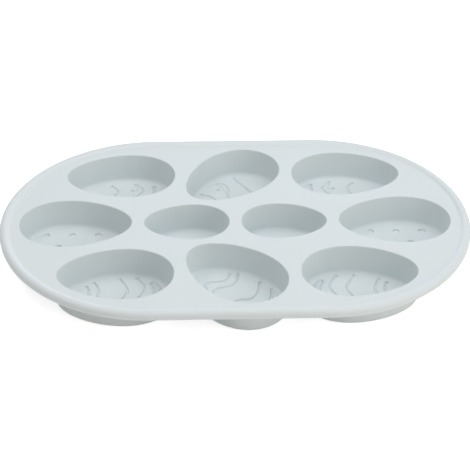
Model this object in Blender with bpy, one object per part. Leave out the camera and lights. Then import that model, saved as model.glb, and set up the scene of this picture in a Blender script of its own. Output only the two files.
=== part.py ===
# Egg-shaped silicone cake mould: ten egg cups hang from one flat web inside a round bead.
# Metres, +Z up, +X along the mould, -Y towards the user. The origin lies under the middle
# of the mould, on the plane that the cup floors stand on.
# The real mould is one moulding. Its zones are separate solids here, a hair apart: the bead
# round the edge, the web, and the ten cups.

import math
from collections import namedtuple

import bmesh
import bpy

# Egg mouths, measured at the upper face of the web. The width is the one at half length, and
# the taper is the share by which the pointed end is narrower and the blunt end wider.
LARGE_EGG_LENGTH = 0.0740
LARGE_EGG_WIDTH = 0.0524
LARGE_EGG_TAPER = 0.16
SMALL_EGG_LENGTH = 0.0563
SMALL_EGG_WIDTH = 0.0399
SMALL_EGG_TAPER = 0.14

# Places of the mouths in the web. The middle eggs of the front and back rows lie at a turn,
# a little off the middle of the mould and a little nearer to its long axis.
MOUTH_GAP = 0.0083
ROW_GAP = 0.0044
CENTRE_EGG_TURN = math.radians(44.0)
CENTRE_EGG_SHIFT = 0.0017
CENTRE_EGG_INSET = 0.0011
SIDE_MARGIN = 0.0113
END_MARGIN = 0.0062

# Web and bead. The bead's centre lies a little under the middle of the web.
WEB_THICKNESS = 0.0024
LIP_RADIUS = 0.0007
BEAD_DIAMETER = 0.0067
BEAD_DROP = 0.0006
BEAD_FILLET = 0.0010
BEAD_TONGUE = 0.0008

# Cups. The depth is from the upper face of the web to the inside of the floor.
CUP_DEPTH = 0.0210
CUP_WALL = 0.0020
CUP_FLOOR = 0.0022
CUP_DRAFT = math.radians(2.5)
FLOOR_RADIUS = 0.0030

# Decoration sunk into the cup floors: grooves of one width, and dots in staggered rows.
RELIEF_DEPTH = 0.0010
GROOVE_WIDTH = 0.0016
DOT_DIAMETER = 0.0048
DOT_PITCH = 0.0175
DOT_ROW_STEP = 0.0132
DOT_FIRST_X = 0.0047
DOT_FIRST_Y = 0.0023
RIBBON_DOT_DIAMETER = 0.0030
RIBBON_DOT_STATION = -0.206
RIBBON_DOT_HEIGHTS = (-0.0121, 0.0054)

# A hook of groove by the blunt end: two strands, given from the tip where they meet.
HOOK_STATION = -0.677
HOOK_MARGIN = 0.0005
HOOK_RADIUS = 0.0011
HOOK_INNER_STRAND = ((-0.0026, 0.0120), (-0.0010, 0.0055))
HOOK_OUTER_STRAND = ((-0.0046, 0.0040), (-0.0060, 0.0080))

# Slit between neighbouring solids of the one moulding.
BODY_GAP = 0.0003

# Facets.
EGG_SIDES = 40
END_SIDES = 22
FLOOR_ARC_STEPS = 3
LIP_STEPS = 2
BEAD_QUARTER_STEPS = 4
FILLET_STEPS = 2
WAVE_STEPS = 16
GROOVE_END_STEPS = 4
HOOK_STEPS = 4
DOT_SIDES = 10
SHARP_ANGLE = math.radians(35.0)

SILICONE_COLOUR = (0.687, 0.752, 0.778, 1.0)
SILICONE_ROUGHNESS = 0.52

Egg = namedtuple("Egg", "half_length half_width taper")
Cup = namedtuple("Cup", "name egg x y heading side pattern")
Stripe = namedtuple("Stripe", "station swing bulge wavelength end_margin")

# Wavy stripes across a cup's floor. The station is where one crosses the egg's long axis, as a
# share of the floor's half length from the middle towards the point. The swing is how far it
# waves each way, the bulge the height at which it is nearest to the blunt end, and the end
# margin how far its ends stop short of the floor's edge.
SIDE_STRIPES = (
    Stripe(0.592, 0.0015, -0.0045, 0.0234, 0.0016),
    Stripe(0.415, 0.0018, -0.0075, 0.0290, 0.0),
    Stripe(-0.126, 0.0027, -0.0093, 0.0280, 0.0),
    Stripe(-0.458, 0.0028, -0.0108, 0.0290, 0.0),
)
CENTRE_STRIPES = (
    Stripe(0.594, 0.0027, -0.0090, 0.0215, 0.0006),
    Stripe(0.378, 0.0024, -0.0088, 0.0235, 0.0),
    Stripe(-0.188, 0.0032, -0.0086, 0.0270, 0.0),
    Stripe(-0.505, 0.0026, -0.0095, 0.0270, 0.0),
)
RIBBON_STRIPES = (
    Stripe(-0.677, 0.0003, 0.0, 0.0400, 0.0006),
    Stripe(-0.335, 0.0031, -0.0123, 0.0175, 0.0),
    Stripe(0.194, 0.0021, -0.0110, 0.0240, 0.0),
)

large_egg = Egg(LARGE_EGG_LENGTH / 2, LARGE_EGG_WIDTH / 2, LARGE_EGG_TAPER)
small_egg = Egg(SMALL_EGG_LENGTH / 2, SMALL_EGG_WIDTH / 2, SMALL_EGG_TAPER)

# Heights.
floor_z = CUP_FLOOR
web_top = floor_z + CUP_DEPTH
web_bottom = web_top - WEB_THICKNESS
web_middle = web_top - WEB_THICKNESS / 2
bead_z = web_middle - BEAD_DROP
cup_top = web_bottom - BODY_GAP

# Places of the cups. The outer and corner cups lie at least a mouth gap from their neighbours.
small_x = (MOUTH_GAP + SMALL_EGG_LENGTH) / 2
least_outer_x = small_x + SMALL_EGG_LENGTH / 2 + MOUTH_GAP + LARGE_EGG_LENGTH / 2
turned_half_extent = math.hypot(large_egg.half_length * math.cos(CENTRE_EGG_TURN),
                                large_egg.half_width * math.sin(CENTRE_EGG_TURN))
least_corner_x = turned_half_extent + MOUTH_GAP + LARGE_EGG_LENGTH / 2
row_y = LARGE_EGG_WIDTH + ROW_GAP
centre_y = row_y - CENTRE_EGG_INSET


def egg_outline(egg, inset=0.0):
    """Points of an egg, pointed at +X, moved inwards by the inset along its normals."""
    points = []
    for i in range(EGG_SIDES):
        t = 2 * math.pi * i / EGG_SIDES
        swell = 1 - egg.taper * math.cos(t)
        x = egg.half_length * math.cos(t)
        y = egg.half_width * math.sin(t) * swell
        dx = -egg.half_length * math.sin(t)
        dy = egg.half_width * (math.cos(t) * swell + egg.taper * math.sin(t) ** 2)
        length = math.hypot(dx, dy)
        points.append((x - inset * dy / length, y + inset * dx / length))
    return points


def half_width_at(egg, x):
    """Half width of an egg at a distance x from its middle."""
    share = max(-1.0, min(1.0, x / egg.half_length))
    return egg.half_width * math.sqrt(1 - share ** 2) * (1 - egg.taper * share)


def arc(centre, radius, start, end, steps):
    """Points of an arc, both ends included, by angles in radians."""
    points = []
    for i in range(steps + 1):
        angle = start + (end - start) * i / steps
        points.append((centre[0] + radius * math.cos(angle), centre[1] + radius * math.sin(angle)))
    return points


# Outline of the mould: a stadium, two half circles joined by straight sides. The outer cups or
# the corner cups set its length, whichever need more room, and the others move out with it, so
# that all of them lie the end margin from the bead.
bead_radius = BEAD_DIAMETER / 2
end_radius = row_y + large_egg.half_width + SIDE_MARGIN + bead_radius
clear_radius = end_radius - bead_radius - END_MARGIN


def end_reach(mouth):
    """How far out the end arc's centre has to lie for a mouth to keep the end margin."""
    return max(x - math.sqrt(clear_radius ** 2 - y ** 2) for x, y in mouth)


outer_reach = end_reach([(least_outer_x - x, y) for x, y in egg_outline(large_egg)])
corner_reach = end_reach([(least_corner_x + x, row_y + y) for x, y in egg_outline(large_egg)])
straight_half = max(outer_reach, corner_reach)
outer_x = least_outer_x + straight_half - outer_reach
corner_x = least_corner_x + straight_half - corner_reach


def fillet_place(web_offset):
    """Reach and height, from the bead's centre, of the fillet over a web face at this offset."""
    height = web_offset + BEAD_FILLET
    return math.sqrt((bead_radius + BEAD_FILLET) ** 2 - height ** 2), height


upper_offset = web_top - bead_z
lower_offset = bead_z - web_bottom
tongue_reach = max(fillet_place(upper_offset)[0], fillet_place(lower_offset)[0]) + BEAD_TONGUE
web_edge_radius = end_radius - tongue_reach - BODY_GAP


def stadium(radius):
    """Points of the mould's outline at this end radius, anticlockwise."""
    right = arc((straight_half, 0.0), radius, -math.pi / 2, math.pi / 2, END_SIDES)
    left = arc((-straight_half, 0.0), radius, math.pi / 2, 3 * math.pi / 2, END_SIDES)
    return right + left


def new_collection(name):
    collection = bpy.data.collections.new(name)
    bpy.context.scene.collection.children.link(collection)
    return collection


def clear_scene():
    for old in list(bpy.data.objects):
        bpy.data.objects.remove(old, do_unlink=True)


clear_scene()
parts = new_collection("egg_cake_mould")
cutters = new_collection("egg_cake_mould_cutters")
origin = bpy.data.objects.new("mould_origin", None)
parts.objects.link(origin)


def add_part(name, data):
    """A solid of the mould, with its own silicone material."""
    part = bpy.data.objects.new(name, data)
    parts.objects.link(part)
    part.parent = origin
    material = bpy.data.materials.new("silicone_" + name)
    material.use_nodes = True
    shader = material.node_tree.nodes["Principled BSDF"]
    shader.inputs["Base Color"].default_value = SILICONE_COLOUR
    shader.inputs["Roughness"].default_value = SILICONE_ROUGHNESS
    shader.inputs["Metallic"].default_value = 0.0
    material.diffuse_color = SILICONE_COLOUR
    data.materials.append(material)
    return part


def add_cutter(name, data):
    """A guide or cutter, which isn't part of the mould."""
    cutter = bpy.data.objects.new(name, data)
    cutters.objects.link(cutter)
    cutter.parent = origin
    cutter.hide_render = True
    cutter.display_type = "WIRE"
    return cutter


def smooth(mesh):
    """Round sides smooth, and the caps of the floors flat."""
    mesh.shade_smooth()
    mesh.set_sharp_from_angle(angle=SHARP_ANGLE)
    for polygon in mesh.polygons:
        if polygon.loop_total > 4:
            polygon.use_smooth = False


def flat_curve(name, outlines, height):
    """Closed outlines as one filled 2D curve, as thick as the height, middle at its origin."""
    curve = bpy.data.curves.new(name, "CURVE")
    curve.dimensions = "2D"
    curve.fill_mode = "BOTH"
    curve.extrude = height / 2
    for outline in outlines:
        spline = curve.splines.new("POLY")
        spline.points.add(len(outline) - 1)
        spline.use_cyclic_u = True
        for point, (x, y) in zip(spline.points, outline):
            point.co = (x, y, 0.0, 1.0)
    return curve


def mesh_of_curve(name, curve):
    """The curve's solid as a mesh with its caps welded on."""
    holder = bpy.data.objects.new(name, curve)
    cutters.objects.link(holder)
    evaluated = holder.evaluated_get(bpy.context.evaluated_depsgraph_get())
    mesh = bpy.data.meshes.new_from_object(evaluated)
    mesh.name = name
    bpy.data.objects.remove(holder, do_unlink=True)
    bm = bmesh.new()
    bm.from_mesh(mesh)
    bmesh.ops.remove_doubles(bm, verts=bm.verts, dist=1e-6)
    bmesh.ops.recalc_face_normals(bm, faces=bm.faces)
    bm.to_mesh(mesh)
    bm.free()
    mesh.shade_flat()
    return mesh


def egg_loft(name, egg, section):
    """A closed solid whose rings follow the egg, from (inset, height) pairs with capped ends."""
    bm = bmesh.new()
    rings = []
    for inset, z in section:
        rings.append([bm.verts.new((x, y, z)) for x, y in egg_outline(egg, inset)])
    for lower, upper in zip(rings, rings[1:]):
        for i in range(EGG_SIDES):
            j = (i + 1) % EGG_SIDES
            bm.faces.new((lower[i], lower[j], upper[j], upper[i]))
    bm.faces.new(rings[0])
    bm.faces.new(rings[-1])
    bmesh.ops.recalc_face_normals(bm, faces=bm.faces)
    mesh = bpy.data.meshes.new(name)
    bm.to_mesh(mesh)
    bm.free()
    return mesh


def wall_section(outset, foot_z, radius):
    """(inset, height) pairs down one drafted wall and round its foot, from the cup's top.

    The wall's line passes the web's lower face at the outset outside the mouth.
    """
    tangent_z = foot_z + radius * (1 - math.sin(CUP_DRAFT))
    centre_inset = (web_bottom - tangent_z) * math.tan(CUP_DRAFT) - outset + radius * math.cos(CUP_DRAFT)
    section = [((web_bottom - cup_top) * math.tan(CUP_DRAFT) - outset, cup_top)]
    for x, z in arc((centre_inset, foot_z + radius), radius, math.pi + CUP_DRAFT, 1.5 * math.pi,
                    FLOOR_ARC_STEPS):
        section.append((x, z))
    return section


inner_section = wall_section(0.0, floor_z, FLOOR_RADIUS)
outer_section = wall_section(CUP_WALL / math.cos(CUP_DRAFT), 0.0, FLOOR_RADIUS + CUP_WALL)
flat_inset = inner_section[-1][0]


def flat_floor(egg):
    """The flat part of a cup's floor, as an egg a groove's half width inside its edge."""
    inset = flat_inset + GROOVE_WIDTH / 2
    return Egg(egg.half_length - inset, egg.half_width - inset, egg.taper)


def stroke(path, width):
    """Outline of a groove of this width along a path, with round ends."""
    left = []
    right = []
    headings = []
    for i in range(len(path)):
        before = path[max(i - 1, 0)]
        after = path[min(i + 1, len(path) - 1)]
        heading = math.atan2(after[1] - before[1], after[0] - before[0])
        headings.append(heading)
        side = (-math.sin(heading) * width / 2, math.cos(heading) * width / 2)
        left.append((path[i][0] + side[0], path[i][1] + side[1]))
        right.append((path[i][0] - side[0], path[i][1] - side[1]))
    quarter = math.pi / 2
    end = arc(path[-1], width / 2, headings[-1] + quarter, headings[-1] - quarter, GROOVE_END_STEPS)
    start = arc(path[0], width / 2, headings[0] - quarter, headings[0] - 3 * quarter, GROOVE_END_STEPS)
    return left + end[1:-1] + right[::-1] + start[1:-1]


def wave(floor, stripe):
    """Outline of one wavy stripe across a floor, from edge to edge."""
    middle = stripe.station * floor.half_length
    end = half_width_at(floor, middle) - stripe.end_margin
    path = []
    for i in range(WAVE_STEPS + 1):
        y = -end + 2 * end * i / WAVE_STEPS
        phase = 2 * math.pi * (y - stripe.bulge) / stripe.wavelength
        path.append((middle - stripe.swing * math.cos(phase), y))
    return stroke(path, GROOVE_WIDTH)


def dot(x, y, diameter):
    return arc((x, y), diameter / 2, 0.0, 2 * math.pi, DOT_SIDES)[:-1]


def hook(floor):
    """Outline of the hook of groove, its round tip near the floor's edge."""
    tip_x = HOOK_STATION * floor.half_length
    tip_y = HOOK_MARGIN - half_width_at(floor, tip_x)
    inner = [(tip_x + x, tip_y + y) for x, y in HOOK_INNER_STRAND]
    outer = [(tip_x + x, tip_y + y) for x, y in HOOK_OUTER_STRAND]
    tip_centre = (tip_x - HOOK_RADIUS, tip_y + HOOK_RADIUS)
    tip = arc(tip_centre, HOOK_RADIUS, 0.0, -0.75 * math.pi, HOOK_STEPS)
    return stroke(inner + tip + outer, GROOVE_WIDTH)


def waves_side(floor):
    """Wavy stripes of the front corner cups, a pair of them near the point."""
    return [wave(floor, stripe) for stripe in SIDE_STRIPES] + [hook(floor)]


def waves_centre(floor):
    """Wavy stripes of the front middle cup, with a wider swing."""
    return [wave(floor, stripe) for stripe in CENTRE_STRIPES]


def spots(floor):
    """Staggered rows of dots, as many as lie wholly on the floor."""
    outlines = []
    rows = math.ceil(floor.half_width / DOT_ROW_STEP)
    columns = math.ceil(floor.half_length / DOT_PITCH) + 1
    for row in range(-rows, rows + 1):
        y = DOT_FIRST_Y + row * DOT_ROW_STEP
        stagger = (row % 2) * DOT_PITCH / 2
        for column in range(-columns, columns + 1):
            x = DOT_FIRST_X + stagger + column * DOT_PITCH
            if abs(x) < floor.half_length and abs(y) + DOT_DIAMETER / 2 < half_width_at(floor, x):
                outlines.append(dot(x, y, DOT_DIAMETER))
    return outlines


def ribbons(floor):
    """Stripes and two dots for the three back cups."""
    dot_x = RIBBON_DOT_STATION * floor.half_length
    stripes = [wave(floor, stripe) for stripe in RIBBON_STRIPES]
    return stripes + [dot(dot_x, y, RIBBON_DOT_DIAMETER) for y in RIBBON_DOT_HEIGHTS]


cups = [
    Cup("cup_back_left", large_egg, -corner_x, row_y, math.pi, 1, ribbons),
    Cup("cup_back_centre", large_egg, -CENTRE_EGG_SHIFT, centre_y, math.pi + CENTRE_EGG_TURN, 1, ribbons),
    Cup("cup_back_right", large_egg, corner_x, row_y, 0.0, -1, ribbons),
    Cup("cup_outer_left", large_egg, -outer_x, 0.0, 0.0, 1, spots),
    Cup("cup_small_left", small_egg, -small_x, 0.0, math.pi, 1, None),
    Cup("cup_small_right", small_egg, small_x, 0.0, 0.0, 1, None),
    Cup("cup_outer_right", large_egg, outer_x, 0.0, math.pi, -1, spots),
    Cup("cup_front_left", large_egg, -corner_x, -row_y, math.pi, 1, waves_side),
    Cup("cup_front_centre", large_egg, -CENTRE_EGG_SHIFT, -centre_y, math.pi - CENTRE_EGG_TURN, 1,
        waves_centre),
    Cup("cup_front_right", large_egg, corner_x, -row_y, 0.0, -1, waves_side),
]


def place(item, cup):
    item.location = (cup.x, cup.y, 0.0)
    item.rotation_euler = (0.0, 0.0, cup.heading)


def subtract(part, cutter_name, **operand):
    boolean = part.modifiers.new(cutter_name, "BOOLEAN")
    boolean.operation = "DIFFERENCE"
    boolean.solver = "EXACT"
    for key, value in operand.items():
        setattr(boolean, key, value)


def bead_half(web_offset, direction):
    """Half of the bead's cross section, from the tongue's edge to the bead's outermost point."""
    reach, height = fillet_place(web_offset)
    contact = math.atan2(height, -reach)
    fillet = arc((-reach, height), BEAD_FILLET, -math.pi / 2, contact - math.pi, FILLET_STEPS)
    shoulder = arc((0.0, 0.0), bead_radius, contact, math.pi / 2, FILLET_STEPS)
    quarter = arc((0.0, 0.0), bead_radius, math.pi / 2, 0.0, BEAD_QUARTER_STEPS)
    half = [(-tongue_reach, web_offset)] + fillet + shoulder[1:] + quarter[1:]
    return [(x, bead_z + z * direction) for x, z in half]


def build_bead():
    """The round bead, a closed tube with a short tongue where the web starts."""
    profile = bead_half(upper_offset, 1) + bead_half(lower_offset, -1)[-2::-1]
    bm = bmesh.new()
    rings = []
    for outset, z in profile:
        rings.append([bm.verts.new((x, y, z)) for x, y in stadium(end_radius + outset)])
    count = len(rings[0])
    for k in range(len(rings)):
        upper_ring = rings[k]
        lower_ring = rings[(k + 1) % len(rings)]
        for i in range(count):
            j = (i + 1) % count
            bm.faces.new((upper_ring[i], upper_ring[j], lower_ring[j], lower_ring[i]))
    bmesh.ops.recalc_face_normals(bm, faces=bm.faces)
    mesh = bpy.data.meshes.new("rim_bead")
    bm.to_mesh(mesh)
    bm.free()
    smooth(mesh)
    add_part("rim_bead", mesh)


def build_web():
    """The flat web, with ten egg mouths whose upper edges are rounded."""
    slab = flat_curve("web", [stadium(web_edge_radius)], WEB_THICKNESS)
    web = add_part("web", mesh_of_curve("web", slab))
    web.location.z = web_middle
    mouths = bpy.data.collections.new("mouth_cutters")
    cutters.children.link(mouths)
    lip = arc((-LIP_RADIUS, web_top - LIP_RADIUS), LIP_RADIUS, 0.0, math.pi / 2, LIP_STEPS)
    section = [(0.0, web_bottom - WEB_THICKNESS)] + lip + [(-LIP_RADIUS, web_top + WEB_THICKNESS)]
    for cup in cups:
        cutter = bpy.data.objects.new("mouth_" + cup.name, egg_loft("mouth_" + cup.name, cup.egg, section))
        mouths.objects.link(cutter)
        cutter.parent = origin
        cutter.hide_render = True
        cutter.display_type = "WIRE"
        place(cutter, cup)
    subtract(web, "mouths", operand_type="COLLECTION", collection=mouths)


def build_cup(cup):
    """A drafted shell with a flat floor, and its decoration cut into the floor."""
    shell = egg_loft(cup.name, cup.egg, inner_section[::-1] + outer_section)
    smooth(shell)
    part = add_part(cup.name, shell)
    place(part, cup)
    if cup.pattern:
        outlines = [[(x, y * cup.side) for x, y in outline] for outline in cup.pattern(flat_floor(cup.egg))]
        relief = flat_curve("relief_" + cup.name, outlines, 2 * RELIEF_DEPTH)
        cutter = add_cutter("relief_" + cup.name, mesh_of_curve("relief_" + cup.name, relief))
        place(cutter, cup)
        cutter.location.z = floor_z
        subtract(part, "relief", object=cutter)


build_bead()
build_web()
for egg_cup in cups:
    build_cup(egg_cup)
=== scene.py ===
# Looks of the egg cake mould: one soft silicone moulding, shown as its bead, its web and its cups
import math

import bmesh
import bpy
from mathutils import Matrix, Vector


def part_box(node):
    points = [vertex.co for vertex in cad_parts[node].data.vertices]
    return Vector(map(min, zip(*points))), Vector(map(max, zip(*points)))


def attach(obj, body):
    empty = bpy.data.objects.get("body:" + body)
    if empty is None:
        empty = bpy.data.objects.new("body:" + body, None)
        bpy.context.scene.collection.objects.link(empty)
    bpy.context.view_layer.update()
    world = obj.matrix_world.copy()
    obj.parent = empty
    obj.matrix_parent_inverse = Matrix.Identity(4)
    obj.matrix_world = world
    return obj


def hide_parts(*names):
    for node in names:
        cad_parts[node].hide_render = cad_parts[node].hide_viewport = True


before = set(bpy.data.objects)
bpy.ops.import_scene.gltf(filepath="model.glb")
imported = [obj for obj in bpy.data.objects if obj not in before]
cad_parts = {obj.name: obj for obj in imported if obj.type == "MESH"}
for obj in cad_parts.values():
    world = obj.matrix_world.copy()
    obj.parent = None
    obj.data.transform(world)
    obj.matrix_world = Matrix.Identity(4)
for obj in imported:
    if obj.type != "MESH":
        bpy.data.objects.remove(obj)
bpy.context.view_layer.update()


def mm(value):
    return value / 1000


# general steps, as one would do them by hand

meshSettings = {
    "mergeDistance": mm(0.001),
    "levelTolerance": mm(0.01),            # what lies this near to a level is on it
    "squareEdgeAngle": math.radians(40),   # an edge turns more than this to be a square one
    "faceWeight": 60,                      # how far the large faces rule the shading of the small ones
}


def selectOnly(*pieces):
    bpy.ops.object.select_all(action="DESELECT")
    for piece in pieces:
        piece.select_set(True)
    bpy.context.view_layer.objects.active = pieces[0]


def startEditing(piece, mode="FACE"):
    selectOnly(piece)
    bpy.ops.object.mode_set(mode="EDIT")
    bpy.ops.mesh.select_mode(type=mode)
    bpy.ops.mesh.select_all(action="DESELECT")


def stopEditing():
    bpy.ops.object.mode_set(mode="OBJECT")


def pick(piece, kind, test):
    # selects the faces, edges or verts that pass the test, in edit mode
    bm = bmesh.from_edit_mesh(piece.data)
    for element in getattr(bm, kind):
        if test(element):
            element.select = True
    bm.select_flush_mode()
    bmesh.update_edit_mesh(piece.data)


def isOnLevel(edge, z):
    return all(abs(vert.co.z - z) < meshSettings["levelTolerance"] for vert in edge.verts)


def splitSelected(piece, name):
    # makes what is selected in edit mode a piece of its own
    bpy.ops.mesh.separate(type="SELECTED")
    stopEditing()
    part = [other for other in bpy.context.selected_objects if other is not piece][0]
    part.name = name
    return part


def applyModifier(piece, kind, **settings):
    selectOnly(piece)
    modifier = piece.modifiers.new(kind.lower(), kind)
    for key, value in settings.items():
        setattr(modifier, key, value)
    bpy.ops.object.modifier_apply(modifier=modifier.name)


def settle(piece):
    # puts the place, the turn and the scale into the mesh
    selectOnly(piece)
    bpy.ops.object.transform_apply(location=True, rotation=True, scale=True)


def copyOf(piece, name):
    double = piece.copy()
    double.data = piece.data.copy()
    double.name = name
    double.data.name = name
    bpy.context.scene.collection.objects.link(double)
    return double


def joinAll(name, pieces):
    selectOnly(*pieces)
    bpy.ops.object.join()
    joined = bpy.context.object
    joined.name = name
    joined.data.name = name
    return joined


def turnOutwards(piece):
    # merges doubles, then makes every face look out
    startEditing(piece)
    bpy.ops.mesh.select_all(action="SELECT")
    bpy.ops.mesh.remove_doubles(threshold=meshSettings["mergeDistance"])
    bpy.ops.mesh.normals_make_consistent(inside=False)
    stopEditing()


def softShade(piece, levels):
    # the surface runs softly over its edges, as rubber does, but for the square ones at these levels
    def isSquare(edge):
        onLevel = any(isOnLevel(edge, z) for z in levels)
        return onLevel and edge.calc_face_angle(0) > meshSettings["squareEdgeAngle"]

    selectOnly(piece)
    bpy.ops.object.shade_smooth()
    startEditing(piece, "EDGE")
    pick(piece, "edges", isSquare)
    bpy.ops.mesh.mark_sharp()
    stopEditing()
    applyModifier(piece, "WEIGHTED_NORMAL", mode="FACE_AREA", weight=meshSettings["faceWeight"],
                  keep_sharp=True)


def roundPoints(centre, radius, start, end, steps):
    # points of an arc in a section, by angles in degrees
    points = []
    for i in range(steps + 1):
        angle = math.radians(start + (end - start) * i / steps)
        points.append((centre[0] + radius * math.cos(angle), centre[1] + radius * math.sin(angle)))
    return points


# heights and outline, read from the CAD nodes
webLow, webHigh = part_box("web")
beadLow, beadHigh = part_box("rim_bead")
webTop = webHigh.z
webBottom = webLow.z
webThickness = webTop - webBottom
beadRadius = (beadHigh.z - beadLow.z) / 2
beadCentreZ = (beadHigh.z + beadLow.z) / 2
endRadius = beadHigh.y - beadRadius      # the outline's end arcs, to the bead's middle
straightHalf = beadHigh.x - beadHigh.y   # half of its straight sides


# the cups: an egg-shaped face, inset step by step down the inside and the outside of the wall

eggSizes = {
    "large": {"length": mm(74.0), "width": mm(52.4), "taper": 0.16},
    "small": {"length": mm(56.3), "width": mm(39.9), "taper": 0.14},
}

cupSizes = {
    "floorZ": mm(2.2),
    "wall": mm(2.0),
    "draft": math.radians(2.5),
    "lip": mm(0.7),          # rounding of the mouth's upper edge
    "lipSteps": 5,
    "floorRound": mm(3.0),   # rounding inside, between wall and floor
    "footRound": mm(5.0),    # rounding outside, between wall and underside
    "roundSteps": 8,
    "flare": mm(1.0),        # hollow round outside, between wall and web
    "flareSteps": 5,
    "sides": 176,
}

# the egg's middle in mm, the way that its point looks in degrees, and its decoration: side -1 mirrors it
cupPlaces = {
    "cup_back_left": {"egg": "large", "at": (-77.54, 56.8), "turn": 180, "pattern": "ribbons", "side": 1},
    "cup_back_centre": {"egg": "large", "at": (-1.7, 55.7), "turn": 224, "pattern": "wideRibbons", "side": 1},
    "cup_back_right": {"egg": "large", "at": (77.54, 56.8), "turn": 0, "pattern": "ribbons", "side": -1},
    "cup_outer_left": {"egg": "large", "at": (-105.84, 0), "turn": 0, "pattern": "spots", "side": 1},
    "cup_small_left": {"egg": "small", "at": (-32.3, 0), "turn": 180, "pattern": None, "side": 1},
    "cup_small_right": {"egg": "small", "at": (32.3, 0), "turn": 0, "pattern": None, "side": 1},
    "cup_outer_right": {"egg": "large", "at": (105.84, 0), "turn": 180, "pattern": "spots", "side": -1},
    "cup_front_left": {"egg": "large", "at": (-77.54, -56.8), "turn": 180, "pattern": "waves", "side": 1},
    "cup_front_centre": {"egg": "large", "at": (-1.7, -55.7), "turn": 136, "pattern": "wideWaves", "side": 1},
    "cup_front_right": {"egg": "large", "at": (77.54, -56.8), "turn": 0, "pattern": "waves", "side": -1},
}

cupDepth = webTop - cupSizes["floorZ"]
slope = math.tan(cupSizes["draft"])
draftDegrees = math.degrees(cupSizes["draft"])


def eggBlank(name, size, outset, z):
    # a filled circle, drawn out to an ellipse and tapered to an egg with its point along +X
    halfLength = size["length"] / 2 + outset
    halfWidth = size["width"] / 2 + outset
    bpy.ops.object.select_all(action="DESELECT")
    bpy.ops.mesh.primitive_circle_add(vertices=cupSizes["sides"], radius=halfLength, fill_type="NGON")
    egg = bpy.context.object
    egg.name = name
    egg.data.name = name
    egg.scale.y = halfWidth / halfLength
    settle(egg)
    bothEnds = 2   # half of the factor acts at either end
    applyModifier(egg, "SIMPLE_DEFORM", deform_method="TAPER", deform_axis="X",
                  factor=-bothEnds * size["taper"])
    egg.location.z = z
    settle(egg)
    return egg


def sinkFace(egg, profile):
    # insets the egg's face step by step down a profile of (inset, depth) points
    startEditing(egg)
    bpy.ops.mesh.select_all(action="SELECT")
    for (inset, depth), (nextInset, nextDepth) in zip(profile, profile[1:]):
        bpy.ops.mesh.inset(thickness=nextInset - inset, depth=depth - nextDepth, use_even_offset=True)
    stopEditing()


def asDepths(points):
    return [(inset, -z) for inset, z in points]


def wallRound(radius, footDepth, insetAtTop):
    # the arc that ends a drafted wall at its foot: (inset, depth) points from wall to flat
    draft = cupSizes["draft"]
    tangentDepth = footDepth - radius * (1 - math.sin(draft))
    centreInset = insetAtTop + tangentDepth * slope + radius * math.cos(draft)
    centre = (centreInset, -(footDepth - radius))
    return asDepths(roundPoints(centre, radius, 180 + draftDegrees, 270, cupSizes["roundSteps"]))


def insideProfile():
    # from the lip's outer edge over the lip, down the wall and round to the floor
    lip = cupSizes["lip"]
    over = asDepths(roundPoints((-lip, -lip), lip, 90, draftDegrees, cupSizes["lipSteps"]))
    atWeb = (webThickness * slope, webThickness)
    return over + [atWeb] + wallRound(cupSizes["floorRound"], cupDepth, 0.0)


def outsideProfile():
    # under the web: the hollow flare, the outer wall and the foot's rounding
    flare = cupSizes["flare"]
    wallInset = -cupSizes["wall"] / math.cos(cupSizes["draft"])
    topInset = wallInset + webThickness * slope
    centre = (topInset - flare, -webThickness - flare)
    hollow = asDepths(roundPoints(centre, flare, 90, draftDegrees, cupSizes["flareSteps"]))
    return hollow + wallRound(cupSizes["footRound"], webTop, wallInset)


def makeCupBlank(kind):
    # the inside of one egg, whose lip goes to the web, then its outside, closed where they meet the web
    size = eggSizes[kind]
    inner = insideProfile()
    outer = outsideProfile()
    inside = eggBlank("inside_" + kind, size, -inner[0][0], webTop)
    sinkFace(inside, inner)
    startEditing(inside)
    lipEnd = webBottom + meshSettings["levelTolerance"]
    pick(inside, "faces", lambda face: face.calc_center_median().z > lipEnd)
    lip = splitSelected(inside, "lip_" + kind)

    outside = eggBlank("outside_" + kind, size, -outer[0][0], webTop - outer[0][1])
    sinkFace(outside, outer)
    cup = joinAll("cup_" + kind, [inside, outside])
    startEditing(cup, "EDGE")
    pick(cup, "edges", lambda edge: edge.is_boundary)
    bpy.ops.mesh.fill(use_beauty=True)
    stopEditing()
    turnOutwards(cup)
    return cup, lip


def placeEgg(piece, place):
    x, y = place["at"]
    piece.rotation_euler.z = math.radians(place["turn"])
    piece.location = (mm(x), mm(y), 0)
    settle(piece)


blanks = {kind: makeCupBlank(kind) for kind in eggSizes}
print("eggs: blanks of the large and the small cup")


# the decoration: tools whose shape is sunk into the cup floors

reliefSizes = {
    "stripe": mm(2.1),                 # width of the stripes
    "stripeDepth": mm(1.25),
    "stripeSlant": math.radians(33),   # of their sides, from upright
    "curveSteps": 8,                   # facets from one point of a stripe to the next
    "fineShare": 0.6,                  # width and depth of the fine stripes beside the others
    "endDot": mm(2.7),                 # width of the dots at the stripes' ends
    "spot": mm(4.9),                   # width of the dots on the spotted eggs
    "dotDepth": mm(1.3),
    "dotSlant": math.radians(20),
    "dotSides": 32,
    "lowerRound": mm(0.25),            # rounding along the bottom of stripes and dots
    "roundSteps": 4,
    "spotPitch": mm(17.5),             # along a row; every second row stands half a pitch further on
    "spotRowStep": mm(13.2),
    "spotFirst": (mm(4.7), mm(2.3)),
    "spotRows": range(-3, 4),          # counted from the first, and only those on the floor are made
    "spotColumns": range(-4, 5),
}

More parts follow.
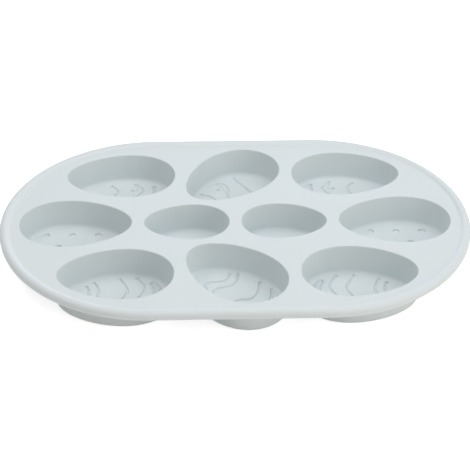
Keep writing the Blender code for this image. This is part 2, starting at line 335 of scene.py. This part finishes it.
# stripes as points in mm from the egg's middle, the egg's point along +X
stripes = {
    "waves": [
        [(19.8, -13.9), (18.2, -9.8), (17.8, -5.2), (19.4, 0.5), (20.7, 6.5), (19.8, 12.5)],
        [(15.2, -18.0), (13.2, -14.2), (11.9, -8.0), (12.6, -2.4), (14.6, 3.0), (15.2, 8.5),
         (13.6, 13.5), (12.6, 17.0)],
        [(-1.4, -22.4), (-2.6, -19.6), (-5.4, -14.0), (-6.7, -9.0), (-5.6, -4.2), (-3.2, 0.2),
         (-1.4, 5.0), (-2.0, 10.5), (-4.9, 15.5), (-6.6, 21.2)],
        [(-12.6, -22.2), (-14.6, -19.4), (-17.2, -14.0), (-17.6, -9.5), (-16.0, -5.0), (-13.2, -0.8),
         (-12.0, 4.0), (-13.4, 9.2), (-16.2, 13.8), (-17.4, 19.6)],
        [(-24.6, -5.5), (-23.7, -10.8), (-22.0, -15.8), (-22.6, -17.8), (-25.0, -16.5),
         (-27.5, -12.0), (-28.6, -7.0)],
    ],
    "wideWaves": [
        [(19.2, -15.6), (17.2, -12.0), (17.0, -8.0), (19.6, -4.0), (22.5, 0.0), (22.0, 3.8),
         (19.4, 7.0), (18.0, 10.4), (18.9, 13.8)],
        [(14.9, -18.8), (12.4, -16.0), (10.3, -11.5), (10.4, -6.4), (13.2, -1.2), (14.6, 2.6),
         (13.2, 6.4), (11.2, 10.8), (11.2, 14.6), (12.4, 17.6)],
        [(-1.6, -22.4), (-4.4, -18.2), (-7.8, -13.2), (-9.1, -8.4), (-7.6, -3.6), (-4.2, 0.2),
         (-3.4, 4.2), (-6.0, 9.4), (-8.4, 14.4), (-7.4, 20.4)],
        [(-12.2, -21.8), (-15.4, -18.2), (-18.4, -13.0), (-18.9, -8.4), (-17.0, -3.2), (-14.4, 1.0),
         (-14.6, 5.6), (-17.4, 10.8), (-18.9, 16.6)],
    ],
    "ribbons": [
        [(-22.2, -17.2), (-22.0, -11.0), (-21.7, -4.0), (-22.2, 4.0), (-22.2, 11.0), (-21.8, 16.6)],
        [(-8.7, -20.4), (-12.0, -17.2), (-14.0, -12.4), (-12.0, -8.0), (-8.8, -4.2), (-8.0, 0.4),
         (-10.8, 5.4), (-13.7, 10.6), (-12.2, 15.8), (-8.8, 19.8)],
        [(8.0, -18.2), (5.4, -15.8), (4.1, -11.4), (4.8, -6.4), (7.6, -1.6), (8.6, 3.6), (6.6, 9.0),
         (4.8, 14.0), (5.6, 19.0)],
    ],
    "wideRibbons": [
        [(-21.0, -18.2), (-19.6, -12.0), (-18.6, -6.0), (-17.6, 1.0), (-17.8, 7.0), (-19.2, 12.6),
         (-20.4, 17.6)],
        [(-7.3, -22.0), (-9.8, -19.2), (-10.2, -15.2), (-7.6, -10.2), (-3.0, -5.8), (-0.2, -1.4),
         (-0.6, 3.6), (-4.2, 8.6), (-6.8, 14.0), (-6.0, 20.4)],
        [(10.0, -19.8), (8.0, -16.0), (7.0, -12.0), (7.8, -7.4), (10.0, -2.6), (10.6, 2.4),
         (8.8, 7.6), (7.4, 12.6), (8.4, 18.0)],
    ],
}

# thin lines that leave the middle stripe of the ribbons
fineStripes = {
    "ribbons": [[(-8.7, -20.4), (-9.0, -17.4), (-10.1, -14.0), (-10.0, -11.2)]],
    "wideRibbons": [[(-7.3, -22.0), (-6.7, -16.4), (-5.6, -12.6), (-4.2, -9.8)]],
}

# round dots beside the stripes as (x, y, width)
dots = {
    "ribbons": [(-6.7, -12.1, 3.0), (-5.4, 5.4, 3.0)],
    "wideRibbons": [(-2.8, -15.3, 3.4), (-2.4, 6.4, 3.4)],
}

floorInset = insideProfile()[-1][0]
floorHalfLength = eggSizes["large"]["length"] / 2 - floorInset
floorHalfWidth = eggSizes["large"]["width"] / 2 - floorInset


def floorReach(x):
    # how far the large egg's flat floor reaches sideways at x
    share = x / floorHalfLength
    return floorHalfWidth * math.sqrt(1 - share ** 2) * (1 - eggSizes["large"]["taper"] * share)


def pegTool(x, y, width):
    # a short tapered peg with a rounded lower edge, its middle on the floor
    depth = reliefSizes["dotDepth"]
    run = depth * math.tan(reliefSizes["dotSlant"])
    bpy.ops.object.select_all(action="DESELECT")
    bpy.ops.mesh.primitive_cone_add(vertices=reliefSizes["dotSides"], depth=2 * depth,
                                    radius1=width / 2 - run, radius2=width / 2 + run,
                                    location=(x, y, cupSizes["floorZ"]))
    peg = bpy.context.object
    startEditing(peg, "EDGE")
    pick(peg, "edges", lambda edge: all(vert.co.z < 0 for vert in edge.verts))
    bpy.ops.mesh.bevel(offset=reliefSizes["lowerRound"], segments=reliefSizes["roundSteps"],
                       affect="EDGES")
    stopEditing()
    return peg


def makeStripeSection():
    # the stripes' section, a closed outline with slanted sides and two rounded lower corners
    reach = reliefSizes["stripe"] / 2
    depth = reliefSizes["stripeDepth"]
    slant = reliefSizes["stripeSlant"]
    corner = reliefSizes["lowerRound"]
    cornerX = reach - (depth - corner) * math.tan(slant) - corner / math.cos(slant)
    topX = reach + depth * math.tan(slant)
    centre = (cornerX, corner - depth)
    right = roundPoints(centre, corner, -math.degrees(slant), -90, reliefSizes["roundSteps"])
    left = [(-x, y) for x, y in right[::-1]]
    outline = right + left + [(-topX, depth), (topX, depth)]
    curve = bpy.data.curves.new("stripeSection", "CURVE")
    line = curve.splines.new("POLY")
    line.points.add(len(outline) - 1)
    line.use_cyclic_u = True
    for point, (x, y) in zip(line.points, outline):
        point.co = (x, y, 0, 1)
    section = bpy.data.objects.new("stripeSection", curve)
    bpy.context.scene.collection.objects.link(section)
    return section


stripeSection = makeStripeSection()


def stripeTool(points, side, share=1.0):
    # a band of the stripes' section, at this share of its size, bent smoothly through the points
    curve = bpy.data.curves.new("stripe", "CURVE")
    curve.dimensions = "3D"
    curve.twist_mode = "Z_UP"
    curve.bevel_mode = "OBJECT"
    curve.bevel_object = stripeSection
    curve.resolution_u = reliefSizes["curveSteps"]
    curve.use_fill_caps = True
    line = curve.splines.new("BEZIER")
    line.bezier_points.add(len(points) - 1)
    for knot, (x, y) in zip(line.bezier_points, points):
        knot.co = (mm(x), mm(y) * side, cupSizes["floorZ"])
        knot.radius = share
        knot.handle_left_type = "AUTO"
        knot.handle_right_type = "AUTO"
    band = bpy.data.objects.new("stripe", curve)
    bpy.context.scene.collection.objects.link(band)
    selectOnly(band)
    bpy.ops.object.convert(target="MESH")
    band = bpy.context.object
    turnOutwards(band)
    return band


def spotTools(side):
    # rows of dots over the whole floor, each one clear of the floor's edge
    tools = []
    firstX, firstY = reliefSizes["spotFirst"]
    for row in reliefSizes["spotRows"]:
        y = firstY + row * reliefSizes["spotRowStep"]
        for column in reliefSizes["spotColumns"]:
            x = firstX + (column + (row % 2) / 2) * reliefSizes["spotPitch"]
            if abs(x) < floorHalfLength and abs(y) + reliefSizes["spot"] / 2 < floorReach(x):
                tools.append(pegTool(x, y * side, reliefSizes["spot"]))
    return tools


def reliefTools(pattern, side):
    if pattern == "spots":
        return spotTools(side)
    tools = []
    for points in stripes[pattern]:
        tools.append(stripeTool(points, side))
        for x, y in (points[0], points[-1]):
            tools.append(pegTool(mm(x), mm(y) * side, reliefSizes["endDot"]))
    for points in fineStripes.get(pattern, []):
        tools.append(stripeTool(points, side, reliefSizes["fineShare"]))
    for x, y, width in dots.get(pattern, []):
        tools.append(pegTool(mm(x), mm(y) * side, mm(width)))
    return tools


def sinkRelief(cup, pattern, side):
    tool = joinAll("relief", reliefTools(pattern, side))
    applyModifier(cup, "BOOLEAN", object=tool, operation="DIFFERENCE", solver="EXACT", use_self=True)
    bpy.data.objects.remove(tool)


def makeCup(node, place):
    blank, lip = blanks[place["egg"]]
    cup = copyOf(blank, node.replace("cup_", "eggCup_"))
    if place["pattern"]:
        sinkRelief(cup, place["pattern"], place["side"])
    placeEgg(cup, place)
    softShade(cup, [webBottom, cupSizes["floorZ"]])
    print("cup:", cup.name, len(cup.data.polygons), "faces")
    return cup


cups = {node: makeCup(node, place) for node, place in cupPlaces.items()}
bpy.data.objects.remove(stripeSection)


# the bead: its section at the mould's right end, spun round the ends and drawn along the sides

rimSizes = {
    "fillet": mm(1.6),          # hollow round where the bead runs into the web
    "tongue": mm(0.8),          # strip of web that stays with the bead
    "roundSides": 48,
    "filletSteps": 6,
    "endSteps": 72,             # facets round each end of the outline
    "straightSteps": 2,
    "endTolerance": mm(0.3),    # the faces of the tongue's end lie this near to it
    "endTilt": 0.1,             # and their normals rise or fall less than this
}


def beadSection():
    # (distance from the bead's middle, height) points, from the tongue's top round to its underside
    fillet = rimSizes["fillet"]
    section = []
    reaches = []
    for side, faceZ in ((1, webTop), (-1, webBottom)):
        height = side * (faceZ - beadCentreZ) + fillet
        reaches.append((math.sqrt((beadRadius + fillet) ** 2 - height ** 2), height))
    tongueEdge = max(reach for reach, height in reaches) + rimSizes["tongue"]
    for side, (reach, height) in zip((1, -1), reaches):
        contact = math.degrees(math.atan2(height, -reach))
        hollow = roundPoints((-reach, height), fillet, -90, contact - 180, rimSizes["filletSteps"])
        outer = roundPoints((0, 0), beadRadius, contact, 0, rimSizes["roundSides"] // 2)
        half = [(-tongueEdge, height - fillet)] + hollow + outer[1:]
        half = [(x, side * z) for x, z in half]
        section += half if side > 0 else half[-2::-1]
    return section, tongueEdge


def makeBead(section):
    mesh = bpy.data.meshes.new("rimBead")
    bead = bpy.data.objects.new("rimBead", mesh)
    bpy.context.scene.collection.objects.link(bead)
    bm = bmesh.new()
    corners = [bm.verts.new((straightHalf, -(endRadius + x), beadCentreZ + z)) for x, z in section]
    for first, second in zip(corners, corners[1:] + corners[:1]):
        bm.edges.new((first, second))
    bm.to_mesh(mesh)
    bm.free()
    startEditing(bead, "EDGE")
    bpy.ops.mesh.select_all(action="SELECT")
    step = 2 * straightHalf / rimSizes["straightSteps"]
    for side in (1, -1):
        bpy.ops.mesh.spin(steps=rimSizes["endSteps"], angle=math.pi, center=(side * straightHalf, 0, 0),
                          axis=(0, 0, -1))
        for i in range(rimSizes["straightSteps"]):
            bpy.ops.mesh.extrude_region_move(TRANSFORM_OT_translate={"value": (-side * step, 0, 0)})
    stopEditing()
    turnOutwards(bead)
    return bead


def makeWeb(bead, tongueEdge):
    # its rim is the end of the bead's tongue, its mouths are the lips; the faces are filled between them
    edgeRadius = endRadius - tongueEdge

    def isTongueEnd(face):
        centre = face.calc_center_median()
        fromMiddle = math.hypot(max(abs(centre.x) - straightHalf, 0), centre.y)
        isUpright = abs(face.normal.z) < rimSizes["endTilt"]
        return isUpright and abs(fromMiddle - edgeRadius) < rimSizes["endTolerance"]

    startEditing(bead)
    pick(bead, "faces", isTongueEnd)
    bpy.ops.mesh.duplicate()
    rim = splitSelected(bead, "webRim")
    lips = []
    for node, place in cupPlaces.items():
        blank, blankLip = blanks[place["egg"]]
        lip = copyOf(blankLip, "lip_" + node)
        placeEgg(lip, place)
        lips.append(lip)
    web = joinAll("webPlate", [rim] + lips)
    for z in (webTop, webBottom):
        startEditing(web, "EDGE")
        pick(web, "edges", lambda edge: edge.is_boundary and isOnLevel(edge, z))
        bpy.ops.mesh.fill(use_beauty=True)
        stopEditing()
    turnOutwards(web)
    return web


section, tongueEdge = beadSection()
bead = makeBead(section)
web = makeWeb(bead, tongueEdge)
softShade(bead, [webTop, webBottom])
softShade(web, [webTop, webBottom])
for blank, blankLip in blanks.values():
    bpy.data.objects.remove(blank)
    bpy.data.objects.remove(blankLip)
print("bead:", len(bead.data.polygons), "faces")
print("web:", len(web.data.polygons), "faces")


# materials

def linear(hexColour):
    # an sRGB hex value as linear light
    channels = [int(hexColour[i:i + 2], 16) / 255 for i in (1, 3, 5)]
    return [c / 12.92 if c <= 0.04045 else ((c + 0.055) / 1.055) ** 2.4 for c in channels] + [1]


def addNode(tree, kind, settings=None, values=None, links=None):
    node = tree.nodes.new(kind)
    for key, value in (settings or {}).items():
        setattr(node, key, value)
    for key, value in (values or {}).items():
        node.inputs[key].default_value = value
    for key, source in (links or {}).items():
        tree.links.new(source, node.inputs[key])
    return node


siliconeLook = {
    "colour": "#DAE2E5",         # pale grey with a little blue, as the web shows
    "cloudyColour": "#D6DFE1",
    "cloudSize": mm(28.0),       # faint clouding of the pigment
    "cloudDetail": 2.0,
    "roughness": 0.5,
    "roughnessSpread": 0.05,
    "ior": 1.41,
    "grainSize": mm(0.45),       # print of the blasted mould tool, coarser than life so that it shows
    "grainDetail": 3.0,
    "grainHeight": mm(0.006),
    "swellSize": mm(45.0),       # soft sheet that never lies quite flat
    "swellDetail": 0.0,
    "swellHeight": mm(0.05),
}


def makeSilicone():
    # platinum-cured silicone rubber, compression moulded in a blasted tool: satin, faintly cloudy
    look = siliconeLook
    material = bpy.data.materials.new("compression-moulded silicone rubber")
    material.use_nodes = True
    tree = material.node_tree
    tree.nodes.clear()
    place = addNode(tree, "ShaderNodeTexCoord").outputs["Object"]
    clouds = addNode(tree, "ShaderNodeTexNoise",
                     values={"Scale": 1 / look["cloudSize"], "Detail": look["cloudDetail"]},
                     links={"Vector": place})
    colour = addNode(tree, "ShaderNodeMix", {"data_type": "RGBA"},
                     {"A": linear(look["colour"]), "B": linear(look["cloudyColour"])},
                     {"Factor": clouds.outputs["Fac"]})
    grain = addNode(tree, "ShaderNodeTexNoise",
                    values={"Scale": 1 / look["grainSize"], "Detail": look["grainDetail"]},
                    links={"Vector": place})
    sheen = addNode(tree, "ShaderNodeMapRange",
                    values={"To Min": look["roughness"] - look["roughnessSpread"],
                            "To Max": look["roughness"] + look["roughnessSpread"]},
                    links={"Value": grain.outputs["Fac"]})
    swell = addNode(tree, "ShaderNodeTexNoise",
                    values={"Scale": 1 / look["swellSize"], "Detail": look["swellDetail"]},
                    links={"Vector": place})
    wavy = addNode(tree, "ShaderNodeBump", values={"Distance": look["swellHeight"]},
                   links={"Height": swell.outputs["Fac"]})
    rough = addNode(tree, "ShaderNodeBump", values={"Distance": look["grainHeight"]},
                    links={"Height": grain.outputs["Fac"], "Normal": wavy.outputs["Normal"]})
    surface = addNode(tree, "ShaderNodeBsdfPrincipled", values={"IOR": look["ior"], "Metallic": 0.0},
                      links={"Base Color": colour.outputs["Result"],
                             "Roughness": sheen.outputs["Result"],
                             "Normal": rough.outputs["Normal"]})
    addNode(tree, "ShaderNodeOutputMaterial", links={"Surface": surface.outputs["BSDF"]})
    return material


silicone = makeSilicone()


def dress(piece, node):
    piece.data.materials.clear()
    piece.data.materials.append(silicone)
    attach(piece, "root")
    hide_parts(node)


pieces = {"rim_bead": bead, "web": web, **cups}
for node, piece in pieces.items():
    dress(piece, node)
print("dressed", len(pieces), "pieces in silicone")


# studio: a white table in a pale room, two soft lamps above, one at the front right and one low behind

studioLook = {
    "tableSize": 20,           # metres
    "tableColour": "#FAFAFA",
    "tableGlow": 0.65,         # what the camera and gloss see on top of the lit table
    "roomColour": "#FFF9F2",   # faintly warm, as light that comes back from walls
    "roomStrength": 0.374,
}

# place and size in metres
lamps = {
    "lampAboveLeft": {"place": (-0.25, 0, 0.6), "size": 0.4, "colour": "#FFFAFB", "watts": 1.18},
    "lampAboveRight": {"place": (0.25, 0, 0.6), "size": 0.4, "colour": "#F3F9FF", "watts": 1.35},
    "lampFrontRight": {"place": (0.8, -0.8, 0.41), "size": 0.7, "colour": "#FFF7ED", "watts": 3.87},
    "lampBehind": {"place": (0, 1.17, 0.25), "size": 0.7, "colour": "#CDE4FF", "watts": 3.24},
}


def seenDirectly(tree):
    # 1 for camera, glossy and transmission rays, 0 for the rays that light the object
    path = addNode(tree, "ShaderNodeLightPath")
    gloss = addNode(tree, "ShaderNodeMath", {"operation": "MAXIMUM"},
                    links={0: path.outputs["Is Camera Ray"], 1: path.outputs["Is Glossy Ray"]})
    clear = addNode(tree, "ShaderNodeMath", {"operation": "MAXIMUM"},
                    links={0: gloss.outputs[0], 1: path.outputs["Is Transmission Ray"]})
    return clear.outputs[0]


def makeTable():
    bpy.ops.object.select_all(action="DESELECT")
    bpy.ops.mesh.primitive_plane_add(size=studioLook["tableSize"])
    table = bpy.context.object
    table.name = "whiteTable"
    material = bpy.data.materials.new("white table laminate")   # matt and even, only shadow shows on it
    material.use_nodes = True
    tree = material.node_tree
    tree.nodes.clear()
    lit = addNode(tree, "ShaderNodeBsdfDiffuse", values={"Color": linear(studioLook["tableColour"])})
    strength = addNode(tree, "ShaderNodeMath", {"operation": "MULTIPLY"}, {1: studioLook["tableGlow"]},
                       {0: seenDirectly(tree)})
    glow = addNode(tree, "ShaderNodeEmission", links={"Strength": strength.outputs[0]})
    both = addNode(tree, "ShaderNodeAddShader", links={0: lit.outputs[0], 1: glow.outputs[0]})
    addNode(tree, "ShaderNodeOutputMaterial", links={"Surface": both.outputs[0]})
    table.data.materials.append(material)


def makeRoom():
    # white where it is seen, dimmer and warmer as light on the object
    world = bpy.data.worlds.new("white studio")
    bpy.context.scene.world = world
    world.use_nodes = True
    tree = world.node_tree
    tree.nodes.clear()
    lighting = addNode(tree, "ShaderNodeBackground",
                       values={"Color": linear(studioLook["roomColour"]),
                               "Strength": studioLook["roomStrength"]})
    seen = addNode(tree, "ShaderNodeBackground", values={"Color": (1, 1, 1, 1), "Strength": 1.0})
    both = addNode(tree, "ShaderNodeMixShader",
                   links={0: seenDirectly(tree), 1: lighting.outputs[0], 2: seen.outputs[0]})
    addNode(tree, "ShaderNodeOutputWorld", links={"Surface": both.outputs[0]})


def makeLamp(name, look):
    # a square soft lamp that looks at the middle of the table
    lamp = bpy.data.lights.new(name, "AREA")
    lamp.size = look["size"]
    lamp.energy = look["watts"]
    lamp.color = linear(look["colour"])[:3]
    holder = bpy.data.objects.new(name, lamp)
    bpy.context.scene.collection.objects.link(holder)
    holder.location = look["place"]
    holder.rotation_euler = (-Vector(look["place"])).to_track_quat("-Z", "Y").to_euler()


makeTable()
makeRoom()
for name, look in lamps.items():
    makeLamp(name, look)
print("studio: table, room and", len(lamps), "lamps")


# camera, fitted to the mouths and the outline in the photograph

cameraView = {
    "yaw": -1.65,              # degrees
    "elevation": 35.17,
    "roll": 0.17,
    "distance": 1.0011,        # metres from the aim
    "aim": (0.0006, -0.0171),  # on the web's upper face
    "focalPixels": 1530.5,
    "centrePixel": (236.5, 235.0),
    "pixelMiddle": 0.5,        # pixels are counted from 0, by their middles
    "imagePixels": 470,
    "sensor": 36,
    "farClip": 10,             # metres
}


def makeCamera():
    view = cameraView
    yaw = math.radians(view["yaw"])
    elevation = math.radians(view["elevation"])
    roll = math.radians(view["roll"])
    flat = math.cos(elevation)
    back = Vector((math.sin(yaw) * flat, -math.cos(yaw) * flat, math.sin(elevation)))
    right = Vector((math.cos(yaw), math.sin(yaw), 0))
    up = back.cross(right)
    rolledRight = right * math.cos(roll) + up * math.sin(roll)
    rolledUp = up * math.cos(roll) - right * math.sin(roll)
    place = Vector((*view["aim"], webTop)) + back * view["distance"]
    camera = bpy.data.cameras.new("camera")
    holder = bpy.data.objects.new("camera", camera)
    bpy.context.scene.collection.objects.link(holder)
    turn = Matrix((rolledRight, rolledUp, back)).transposed()
    holder.matrix_world = Matrix.Translation(place) @ turn.to_4x4()
    size = view["imagePixels"]
    centreX, centreY = view["centrePixel"]
    camera.sensor_width = view["sensor"]
    camera.lens = view["focalPixels"] * view["sensor"] / size
    camera.shift_x = (size / 2 - centreX - view["pixelMiddle"]) / size
    camera.shift_y = (centreY + view["pixelMiddle"] - size / 2) / size
    camera.clip_end = view["farClip"]
    bpy.context.scene.camera = holder


makeCamera()
bpy.context.scene.view_settings.view_transform = "Standard"
print("camera: at", cameraView["distance"], "metres")
